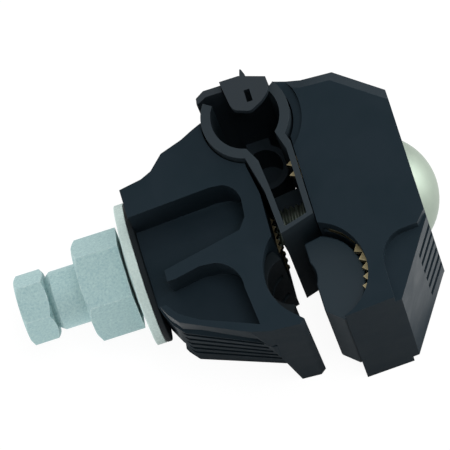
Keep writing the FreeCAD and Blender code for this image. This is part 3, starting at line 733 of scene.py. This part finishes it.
@dataclass(frozen=True)
class Workbench:
    """The hand operations that the pieces share.

    Args:
        merge_mm: how near two corners lie to count as one.
        flat_deg: the angle up to which two faces make one flat face.
        bent_deg: the angle from which a face counts as bent.
        flat_weight: how firmly the large faces keep their shading flat, in percent.
    """

    merge_mm: float = 0.001
    flat_deg: float = 0.6
    bent_deg: float = 0.5
    flat_weight: int = 100

    def clear(self) -> None:
        """Leaves edit mode and deselects everything."""
        if bpy.context.object is not None and bpy.context.object.mode != "OBJECT":
            bpy.ops.object.mode_set(mode="OBJECT")
        bpy.ops.object.select_all(action="DESELECT")

    def take(self, piece: bpy.types.Object) -> None:
        """Makes a piece the only one selected, and active.

        Args:
            piece: the piece.
        """
        self.clear()
        piece.select_set(True)
        bpy.context.view_layer.objects.active = piece

    def edit(self, piece: bpy.types.Object) -> None:
        """Opens a piece in edit mode with all of it selected.

        Args:
            piece: the piece.
        """
        self.take(piece)
        bpy.ops.object.mode_set(mode="EDIT")
        bpy.ops.mesh.select_mode(type="VERT")
        bpy.ops.mesh.select_all(action="SELECT")

    def done(self) -> None:
        """Goes back to object mode."""
        bpy.ops.object.mode_set(mode="OBJECT")

    def copy_node(self, node: str, name: str) -> bpy.types.Object:
        """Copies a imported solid's mesh and joins its loose triangles into whole faces.

        Args:
            node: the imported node.
            name: the new piece's name.

        Returns:
            The piece.
        """
        piece = bpy.data.objects.new(name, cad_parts[node].data.copy())
        piece.data.materials.clear()
        bpy.context.scene.collection.objects.link(piece)
        self.edit(piece)
        bpy.ops.mesh.customdata_custom_splitnormals_clear()
        bpy.ops.mesh.remove_doubles(threshold=self.merge_mm * MM)
        bpy.ops.mesh.dissolve_limited(angle_limit=math.radians(self.flat_deg))
        self.done()
        return piece

    def apply(self, piece: bpy.types.Object, kind: str, name: str, **settings: object) -> None:
        """Adds a modifier and applies it.

        Args:
            piece: the piece.
            kind: the modifier's type.
            name: its name.
            settings: its settings.
        """
        self.take(piece)
        modifier = piece.modifiers.new(name, kind)
        for key, value in settings.items():
            setattr(modifier, key, value)
        bpy.ops.object.modifier_apply(modifier=modifier.name)

    def round_corners(
        self,
        piece: bpy.types.Object,
        test: Callable[[bmesh.types.BMEdge], bool],
        width_mm: float,
        segments: int = 5,
    ) -> int:
        """Rounds the edges that a test picks.

        Args:
            piece: the piece.
            test: says which edges.
            width_mm: how far the rounding reaches.
            segments: how many faces it has.

        Returns:
            How many edges were rounded.
        """
        self.edit(piece)
        bpy.ops.mesh.select_mode(type="EDGE")
        bpy.ops.mesh.select_all(action="DESELECT")
        mesh = bmesh.from_edit_mesh(piece.data)
        chosen = [edge for edge in mesh.edges if edge.is_manifold and test(edge)]
        for edge in chosen:
            edge.select = True
        bmesh.update_edit_mesh(piece.data)
        if chosen:
            bpy.ops.mesh.bevel(
                offset=width_mm * MM, segments=segments, affect="EDGES", clamp_overlap=True
            )
        self.done()
        return len(chosen)

    def split_faces(self, piece: bpy.types.Object) -> None:
        """Cuts faces that are hollow in outline or not flat, so that they can be shifted.

        Args:
            piece: the piece.
        """
        self.edit(piece)
        bpy.ops.mesh.vert_connect_concave()
        bpy.ops.mesh.select_all(action="SELECT")
        bpy.ops.mesh.vert_connect_nonplanar(angle_limit=math.radians(self.bent_deg))
        self.done()

    def soften(
        self,
        piece: bpy.types.Object,
        width_mm: float,
        segments: int = 3,
        above_deg: float = SHARP_DEG,
    ) -> None:
        """Rounds the edges that are sharper than an angle.

        Args:
            piece: the piece.
            width_mm: how far the rounding reaches from the edge.
            segments: how many faces it has.
            above_deg: the angle from which an edge is rounded.
        """
        self.apply(
            piece,
            "BEVEL",
            "soft_edges",
            limit_method="ANGLE",
            angle_limit=math.radians(above_deg),
            width=width_mm * MM,
            segments=segments,
            use_clamp_overlap=True,
            miter_outer="MITER_ARC",
        )

    def smooth(self, piece: bpy.types.Object, angle_deg: float = 40.0) -> None:
        """Shades a piece smoothly up to an angle.

        Args:
            piece: the piece.
            angle_deg: the angle.
        """
        self.take(piece)
        bpy.ops.object.shade_smooth_by_angle(angle=math.radians(angle_deg))
        weight = self.flat_weight
        self.apply(piece, "WEIGHTED_NORMAL", "flat_faces", keep_sharp=True, weight=weight)

    def lathe(
        self, name: str, profile: Iterable[tuple[float, float]], steps: int = 64
    ) -> bpy.types.Object:
        """Turns a profile about the bolt's axis.

        Args:
            name: the piece's name.
            profile: distance along X and radius of each corner, in mm, from the axis to the axis.
            steps: how many faces go round.

        Returns:
            The piece.
        """
        corners = [BOLT_AXIS + Vector((x * MM, 0.0, r * MM)) for x, r in profile]
        self.clear()
        bpy.ops.mesh.primitive_plane_add(size=1 * MM, location=corners[0])
        piece = bpy.context.object
        piece.name = name
        bpy.ops.object.transform_apply(location=True, rotation=True, scale=True)
        self.edit(piece)
        bpy.ops.mesh.merge(type="CENTER")
        for last, corner in zip(corners, corners[1:]):
            bpy.ops.mesh.extrude_region_move(TRANSFORM_OT_translate={"value": corner - last})
        bpy.ops.mesh.select_all(action="SELECT")
        bpy.ops.mesh.spin(
            steps=steps, angle=math.tau, center=BOLT_AXIS, axis=(1, 0, 0), use_auto_merge=True
        )
        bpy.ops.mesh.select_all(action="SELECT")
        bpy.ops.mesh.remove_doubles(threshold=self.merge_mm * MM)
        bpy.ops.mesh.normals_make_consistent(inside=False)
        self.done()
        return piece

    def weld(self, piece: bpy.types.Object, *others: bpy.types.Object) -> None:
        """Joins other objects into a piece.

        Args:
            piece: the piece.
            others: what is joined into it.
        """
        self.take(piece)
        for other in others:
            other.select_set(True)
        bpy.ops.object.join()


@dataclass
class Dresser:
    """Gives finished pieces their finish and body, and reports them.

    Args:
        effects: the shared effects.
        bench: the hand operations.
        made: the materials built so far, by name.
    """

    effects: Effects
    bench: Workbench = field(default_factory=Workbench)
    made: dict[str, bpy.types.Material] = field(default_factory=dict)

    def put_on(
        self, piece: bpy.types.Object, finish: Finish, body: Body, node: str
    ) -> None:
        """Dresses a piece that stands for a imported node.

        Args:
            piece: the piece.
            finish: its finish.
            body: the body that it rides on.
            node: the node that it stands for.
        """
        if finish.name not in self.made:
            self.made[finish.name] = finish.material(self.effects)
        piece.data.materials.clear()
        piece.data.materials.append(self.made[finish.name])
        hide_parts(node)
        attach(piece, body.value)
        faces = len(piece.data.polygons)
        line = "%-22s %-16s on %-5s %6d faces"
        log.info(line, piece.name, finish.name, body.value, faces)

    def rounded_copy(
        self,
        node: str,
        finish: Finish,
        body: Body,
        width_mm: float,
        segments: int = 3,
        above_deg: float = SHARP_DEG,
    ) -> bpy.types.Object:
        """Makes the looks of a node from its own solid, with rounded edges.

        Args:
            node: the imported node.
            finish: its finish.
            body: the body that it rides on.
            width_mm: how far the rounding reaches.
            segments: the faces of a rounding.
            above_deg: the angle from which an edge is rounded.

        Returns:
            The piece.
        """
        piece = self.bench.copy_node(node, node + "_looks")
        self.bench.soften(piece, width_mm, segments, above_deg)
        self.bench.smooth(piece)
        self.put_on(piece, finish, body, node)
        return piece


# The clamp


def ease(value: float, none: float, whole: float) -> float:
    """Rises gently from 0 to 1 as a value goes from one limit to the other.

    Args:
        value: the value.
        none: the limit at which the result is 0.
        whole: the limit at which it is 1, which may be the lower one.

    Returns:
        The share from 0 to 1.
    """
    part = min(1.0, max(0.0, (value - none) / (whole - none)))
    return part * part * (3 - 2 * part)


@dataclass(frozen=True)
class Pull:
    """A soft shift of a piece's back, which fades to nothing at the front face. All in mm.

    Args:
        node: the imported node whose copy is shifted.
        move: how far along X and Y, at the back face.
        along_x: where along X the shift starts and where it is whole.
        along_y: the same along Y.
        depth: the height of the front face.
    """

    node: str
    move: tuple[float, float]
    along_x: tuple[float, float]
    along_y: tuple[float, float]
    depth: float = 46.0

    def shift(self, piece: bpy.types.Object) -> None:
        """Shifts the corners of a piece.

        Args:
            piece: the copy of the node.
        """
        for vertex in piece.data.vertices:
            x, y, z = vertex.co / MM
            share = (1 - z / self.depth) * ease(x, *self.along_x) * ease(y, *self.along_y)
            vertex.co.xy += Vector(self.move) * share * MM


@dataclass
class Jaws:
    """The two black mouldings.

    Args:
        edge_mm: the rounding of their outer edges.
        root_mm: the rounding where a pocket's walls meet its floor.
        pocket_floor: height of the floors of the front and the back pockets, in mm.
        boss_end: where the boss in the pockets ends along X, in mm, and how exactly.
        boss_half: how far it reaches to each side of the bolt along Y, in mm.
        boss_grown: how far it runs on into the moulding, in mm.
        root_from: the place along X from which the pocket roots are rounded, in mm.
        root_near: how near to the floor a root lies, in mm.
        root_deg: the turn from which an edge is a root, less than 0 as it is hollow.
        pulls: the small leans of the outline towards the back.
    """

    edge_mm: float = 0.45
    root_mm: float = 1.6
    pocket_floor: tuple[float, float] = (33.0, 13.0)
    boss_end: tuple[float, float] = (-10.4, 0.02)
    boss_half: float = 12.0
    boss_grown: float = 5.0
    root_from: float = -24.0
    root_near: float = 0.05
    root_deg: float = -40.0
    pulls: tuple[Pull, ...] = (
        Pull("head_jaw", (-2.8, 0.6), (-12.0, -22.0), (0.0, -11.0)),
        Pull("head_jaw", (0.0, 1.8), (-13.0, -6.0), (-17.0, -24.0)),
        Pull("base_jaw", (0.0, -0.9), (4.0, 8.0), (-20.0, -26.0)),
        Pull("base_jaw", (0.7, 0.0), (20.0, 26.0), (8.0, -4.0)),
    )

    def build(self, dresser: Dresser) -> None:
        """Builds both jaws.

        Args:
            dresser: what gives the pieces their finish.
        """
        bench = dresser.bench
        for node, body in (("head_jaw", Body.HEAD), ("base_jaw", Body.BASE)):
            jaw = bench.copy_node(node, node + "_looks")
            self._grow_boss(jaw)
            rounded = bench.round_corners(jaw, self._is_root, self.root_mm)
            log.info("%s has %d rounded pocket roots", node, rounded)
            bench.split_faces(jaw)
            for pull in self.pulls:
                if pull.node == node:
                    pull.shift(jaw)
            bench.split_faces(jaw)
            bench.soften(jaw, self.edge_mm)
            bench.smooth(jaw)
            dresser.put_on(jaw, JAW_NYLON, body, node)

    def _grow_boss(self, jaw: bpy.types.Object) -> None:
        """Runs the boss on into the end wall of the pockets, where it fades away.

        Args:
            jaw: the copy of a jaw. Only the one with pockets has a boss.
        """
        end, near = self.boss_end
        for vertex in jaw.data.vertices:
            x, y, _ = vertex.co / MM
            if abs(x - end) < near and abs(y) < self.boss_half:
                vertex.co.x += self.boss_grown * MM

    def _is_root(self, edge: bmesh.types.BMEdge) -> bool:
        """Says whether an edge is where a pocket's walls meet its floor.

        Args:
            edge: the edge.

        Returns:
            Whether it is.
        """
        at_floor = any(
            all(abs(vertex.co.z / MM - floor) < self.root_near for vertex in edge.verts)
            for floor in self.pocket_floor
        )
        inside = all(vertex.co.x / MM > self.root_from for vertex in edge.verts)
        hollow = edge.calc_face_angle_signed(0.0) < math.radians(self.root_deg)
        return at_floor and inside and hollow


@dataclass
class Fasteners:
    """The bolt, its shear nut and the washers. All in mm.

    Args:
        pitch: the thread's pitch.
        crest: the radius of the thread's crest.
        crest_flat: where the crest's flat starts and ends, as shares of the pitch.
        root: the radius of its root.
        ridge_sunk: how far the ridge's foot lies under the root.
        ridge_gap: half the gap between two turns of the ridge.
        turn_steps: how many faces the ridge has in a turn.
        thread_start: where the thread starts along X.
        thread_end: where it ends.
        run_out: how far it takes to grow to the full shank.
        under_head: where the domed head starts.
        dome_rim: the thickness of the dome's rim.
        rim_corner: the corner under the rim, along X and inwards.
        dome_radius: the radius of its rim.
        dome_rise: how far it stands above its rim.
        dome_steps: how many faces it has from its top to its rim.
        neck_half: half the side of the square neck.
        neck_length: the length of the neck.
        neck_edge: the rounding of its edges.
        smooth_deg: the angle up to which the bolt is shaded smoothly.
        nut_edge: the rounding of the nut's edges, and the angle from which they have it.
        washer_edges: the same for the washers, the steel one's and the seal's rounding first.
    """

    pitch: float = 1.25
    crest: float = 4.0
    crest_flat: tuple[float, float] = (0.44, 0.56)
    root: float = 3.36
    ridge_sunk: float = 0.08
    ridge_gap: float = 0.03
    turn_steps: int = 20
    thread_start: float = -47.6
    thread_end: float = 12.0
    run_out: float = 1.0
    under_head: float = 26.5
    dome_rim: float = 0.7
    rim_corner: tuple[float, float] = (0.2, 0.3)
    dome_radius: float = 10.325
    dome_rise: float = 5.0
    dome_steps: int = 10
    neck_half: float = 4.1
    neck_length: float = 4.6
    neck_edge: float = 0.35
    smooth_deg: float = 35.0
    nut_edge: tuple[float, float] = (0.18, 20.0)
    washer_edges: tuple[float, float, float] = (0.2, 0.25, 40.0)

    def build(self, dresser: Dresser) -> None:
        """Builds the four steel and rubber pieces on the bolt's axis.

        Args:
            dresser: what gives the pieces their finish.
        """
        self.bolt(dresser)
        width, above = self.nut_edge
        dresser.rounded_copy("shear_nut", ZINC, Body.NUT, width, above_deg=above)
        steel, seal, above = self.washer_edges
        dresser.rounded_copy(
            "steel_washer", PALE_ZINC, Body.HEAD, steel, above_deg=above
        )
        dresser.rounded_copy(
            "seal_washer", SEAL_RUBBER, Body.HEAD, seal, above_deg=above
        )

    def bolt(self, dresser: Dresser) -> None:
        """Builds the bolt with its rolled thread, square neck and domed head.

        Args:
            dresser: what gives the piece its finish.
        """
        bench = dresser.bench
        rim = self.under_head + self.dome_rim
        sphere = (self.dome_radius**2 + self.dome_rise**2) / (2 * self.dome_rise)
        middle = rim + self.dome_rise - sphere
        open_angle = math.asin(self.dome_radius / sphere)
        angles = [open_angle * step / self.dome_steps for step in range(self.dome_steps + 1)]
        corner_x, corner_in = self.rim_corner
        profile = [
            *((middle + sphere * math.cos(a), sphere * math.sin(a)) for a in angles),
            (self.under_head + corner_x, self.dome_radius),
            (self.under_head, self.dome_radius - corner_in),
            (self.under_head, self.crest),
            (self.thread_end + self.run_out, self.crest),
            (self.thread_end, self.root),
            (self.thread_start, self.root),
            (self.thread_start, 0.0),
        ]
        bolt = bench.lathe("carriage_bolt_looks", profile)
        bench.weld(bolt, self._thread(bench), self._neck(bench))
        bench.smooth(bolt, self.smooth_deg)
        dresser.put_on(bolt, DOME_ZINC, Body.BASE, "carriage_bolt")

    def _thread(self, bench: Workbench) -> bpy.types.Object:
        """Winds one ridge of the thread along the shank.

        Args:
            bench: the hand operations.

        Returns:
            The ridge, closed at both ends.
        """
        turns = int((self.thread_end - self.thread_start) / self.pitch) - 1
        foot = self.root - self.ridge_sunk
        flat_start, flat_end = self.crest_flat
        profile = (
            (self.ridge_gap, foot),
            (self.pitch * flat_start, self.crest),
            (self.pitch * flat_end, self.crest),
            (self.pitch - self.ridge_gap, foot),
        )
        bench.clear()
        bpy.ops.mesh.primitive_plane_add(size=self.pitch * MM, location=BOLT_AXIS)
        ridge = bpy.context.object
        ridge.name = "thread_ridge"
        bpy.ops.object.transform_apply(location=True, rotation=True, scale=True)
        corners_in_turn = (0, 2, 3, 1)
        for corner, (x, radius) in zip(corners_in_turn, profile):
            spot = BOLT_AXIS + Vector(((self.thread_start + x) * MM, 0.0, radius * MM))
            ridge.data.vertices[corner].co = spot
        bench.edit(ridge)
        bpy.ops.mesh.spin(
            steps=self.turn_steps * turns,
            angle=math.tau * turns,
            center=BOLT_AXIS,
            axis=(1, 0, 0),
            use_auto_merge=False,
        )
        bench.done()
        step = Vector((self.pitch * MM / self.turn_steps, 0.0, 0.0))
        for number, vertex in enumerate(ridge.data.vertices):
            vertex.co += step * (number // len(profile))
        return ridge

    def _neck(self, bench: Workbench) -> bpy.types.Object:
        """Makes the square neck under the head.

        Args:
            bench: the hand operations.

        Returns:
            The neck.
        """
        bench.clear()
        middle = BOLT_AXIS + Vector(((self.under_head - self.neck_length / 2) * MM, 0.0, 0.0))
        bpy.ops.mesh.primitive_cube_add(size=1.0, location=middle)
        neck = bpy.context.object
        side = 2 * self.neck_half * MM
        neck.scale = (self.neck_length * MM, side, side)
        bpy.ops.object.transform_apply(location=True, rotation=True, scale=True)
        bench.soften(neck, self.neck_edge, 2)
        return neck


@dataclass
class Seals:
    """The rubber loop of the tap groove and the two seals of the run groove. All in mm.

    Args:
        edge: the rounding of their edges.
        web_x: where the web in the loop's throat starts and ends along X.
        web_z: the heights of its back and front faces, with the rounding's room.
        web_top: its upper edge along Y, and how far from there its corners lie.
        web_raised: how far that edge is drawn up to the cap.
        groove_middle: the middle of the run groove's arc in the base jaw.
        rim_from: how far from there the half-moon seal's round edge starts.
        drawn_in: how far that edge is drawn in, so that the plate's teeth show.
    """

    edge: float = 0.3
    web_x: tuple[float, float] = (-1.5, 6.0)
    web_z: tuple[float, float] = (12.5, 14.5)
    web_top: tuple[float, float] = (7.4, 1.0)
    web_raised: float = 2.6
    groove_middle: tuple[float, float] = (3.1, -18.4)
    rim_from: float = 10.05
    drawn_in: float = 0.8

    def build(self, dresser: Dresser) -> None:
        """Builds the three seals.

        Args:
            dresser: what gives the pieces their finish.
        """
        loop = dresser.rounded_copy("tap_seal", LOOP_RUBBER, Body.BASE, self.edge)
        self._raise_web(loop)
        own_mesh(loop)
        dresser.rounded_copy("head_run_seal", SEAL_RUBBER, Body.HEAD, self.edge)
        half_moon = dresser.rounded_copy(
            "base_run_seal", INSERT_RUBBER, Body.BASE, self.edge
        )
        self._draw_in(half_moon)

    def _raise_web(self, loop: bpy.types.Object) -> None:
        """Draws up the upper edge of the web in the loop's throat.

        Args:
            loop: the rubber loop.
        """
        top, reach = self.web_top
        for vertex in loop.data.vertices:
            x, y, z = vertex.co / MM
            inside = self.web_x[0] < x < self.web_x[1] and self.web_z[0] < z < self.web_z[1]
            if inside and abs(y - top) < reach:
                vertex.co.y += self.web_raised * MM

    def _draw_in(self, half_moon: bpy.types.Object) -> None:
        """Draws in the round edge of the seal in the run groove.

        Args:
            half_moon: the seal.
        """
        middle = Vector(self.groove_middle) * MM
        for vertex in half_moon.data.vertices:
            spoke = vertex.co.xy - middle
            if spoke.length > self.rim_from * MM:
                vertex.co.xy = middle + spoke * (1 - self.drawn_in * MM / spoke.length)


@dataclass
class EndCap:
    """The rubber cap with its strap, eyelet tab and pull tail. All in mm.

    Args:
        corner: the rounding of the tab's corners.
        corner_steps: how many faces it has.
        corner_deg: the turn from which an edge is such a corner.
        corner_lean: how far it may lean.
        corner_height: how high it is at least.
        tab_from: the height above which the cap has its tab.
        edge: the rounding of all other edges.
        tab_face: the height from which a corner belongs to the tab's plate.
        eye: the middle of the eyelet, and how far it reaches along X and Y.
        eye_drop: how far the eyelet sits lower than in the solid.
        left: the tab's left side along X, up to where along Y, and how far it is drawn in.
        right: its right side along X, from where along Y its upper corner is lowered too, and how
            far it is drawn in.
    """

    corner: float = 2.4
    corner_steps: int = 4
    corner_deg: float = 15.0
    corner_lean: float = 0.05
    corner_height: float = 0.5
    tab_from: float = 44.0
    edge: float = 0.3
    tab_face: float = 48.6
    eye: tuple[float, float, float, float] = (1.1, 21.5, 0.7, 1.4)
    eye_drop: float = 1.4
    left: tuple[float, float, float] = (-3.3, 22.0, 0.9)
    right: tuple[float, float, float] = (5.8, 22.95, 0.5)

    def build(self, dresser: Dresser) -> None:
        """Builds the cap.

        Args:
            dresser: what gives the piece its finish.
        """
        bench = dresser.bench
        cap = bench.copy_node("end_cap", "end_cap_looks")
        self._trim_tab(cap)
        bench.round_corners(cap, self._is_tab_corner, self.corner, self.corner_steps)
        bench.soften(cap, self.edge)
        bench.smooth(cap)
        dresser.put_on(cap, CAP_RUBBER, Body.BASE, "end_cap")

    def _trim_tab(self, cap: bpy.types.Object) -> None:
        """Narrows the tab's plate and lowers its eyelet.

        Args:
            cap: the copy of the cap.
        """
        eye_x, eye_y, reach_x, reach_y = self.eye
        left_x, left_below, left_in = self.left
        right_x, right_above, right_in = self.right
        for vertex in cap.data.vertices:
            x, y, z = vertex.co / MM
            if z < self.tab_face:
                continue
            if abs(x - eye_x) < reach_x and abs(y - eye_y) < reach_y:
                vertex.co.y -= self.eye_drop * MM
            elif x < left_x and y < left_below:
                vertex.co.x += left_in * MM
            elif x > right_x:
                vertex.co.x -= right_in * MM
                if y > right_above:
                    vertex.co.y -= right_in * MM

    def _is_tab_corner(self, edge: bmesh.types.BMEdge) -> bool:
        """Says whether an edge stands along Z at an outer corner of the tab.

        Args:
            edge: the edge.

        Returns:
            Whether it does.
        """
        first, second = (vertex.co / MM for vertex in edge.verts)
        upright = (first.xy - second.xy).length < self.corner_lean
        high = abs(first.z - second.z) > self.corner_height
        above = min(first.z, second.z) > self.tab_from
        outer = edge.calc_face_angle_signed(0.0) > math.radians(self.corner_deg)
        return upright and high and above and outer


@dataclass
class ContactPlates:
    """The four toothed plates that bite through the insulation.

    Args:
        edge_mm: the rounding of their edges.
        segments: how many faces a rounding has.
    """

    edge_mm: float = 0.08
    segments: int = 2

    def build(self, dresser: Dresser) -> None:
        """Builds the plates.

        Args:
            dresser: what gives the pieces their finish.
        """
        for body in (Body.BASE, Body.HEAD):
            for level in ("front", "back"):
                dresser.rounded_copy(
                    f"{body.value}_blade_{level}",
                    CONTACT,
                    body,
                    self.edge_mm,
                    self.segments,
                )


def main() -> None:
    """Builds the studio and all sub-assemblies in order."""
    logging.basicConfig(level=logging.INFO, format="%(message)s")
    Studio().build()
    dresser = Dresser(Effects())
    for assembly in (Jaws(), Fasteners(), Seals(), EndCap(), ContactPlates()):
        assembly.build(dresser)


if __name__ == "__main__":
    main()
